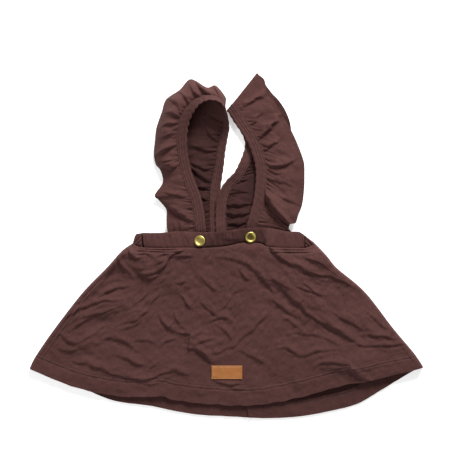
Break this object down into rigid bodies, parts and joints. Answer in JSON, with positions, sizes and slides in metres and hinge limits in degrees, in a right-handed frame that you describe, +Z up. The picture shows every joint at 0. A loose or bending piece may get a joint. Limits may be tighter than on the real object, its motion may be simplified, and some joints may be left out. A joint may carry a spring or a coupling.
{
  "type": "suspender skirt with ruffled shoulder straps",
  "caption": "Baby's flared jersey skirt with an elastic waistband and gathered ruffles along its two shoulder straps, laid flat with its front up.",
  "frame": {"origin": "bottom centre of the garment's box, on the surface it lies on", "axes": "+Z up out of the front of the garment, +Y from the waist towards the shoulder straps, +X along the waist to the right as seen from above"},
  "size_m": [0.491, 0.4307, 0.0329],
  "materials": {
    "jersey": "matt brown sweatshirt jersey",
    "gold_metal": "bright gold-coloured metal",
    "tan_leather": "smooth tan leather, bare"
  },
  "bodies": {
    "root": {"skirt_front": "jersey", "skirt_back_left": "jersey", "skirt_back_right": "jersey", "waistband_front": "jersey", "waistband_back": "jersey", "strap_left": "jersey", "strap_right": "jersey", "ruffle_left": "jersey", "ruffle_right": "jersey", "snap_cap_left": "gold_metal", "snap_cap_right": "gold_metal", "snap_stud_left": "gold_metal", "snap_stud_right": "gold_metal", "label_patch": "tan_leather"}
  },
  "joints": []
}
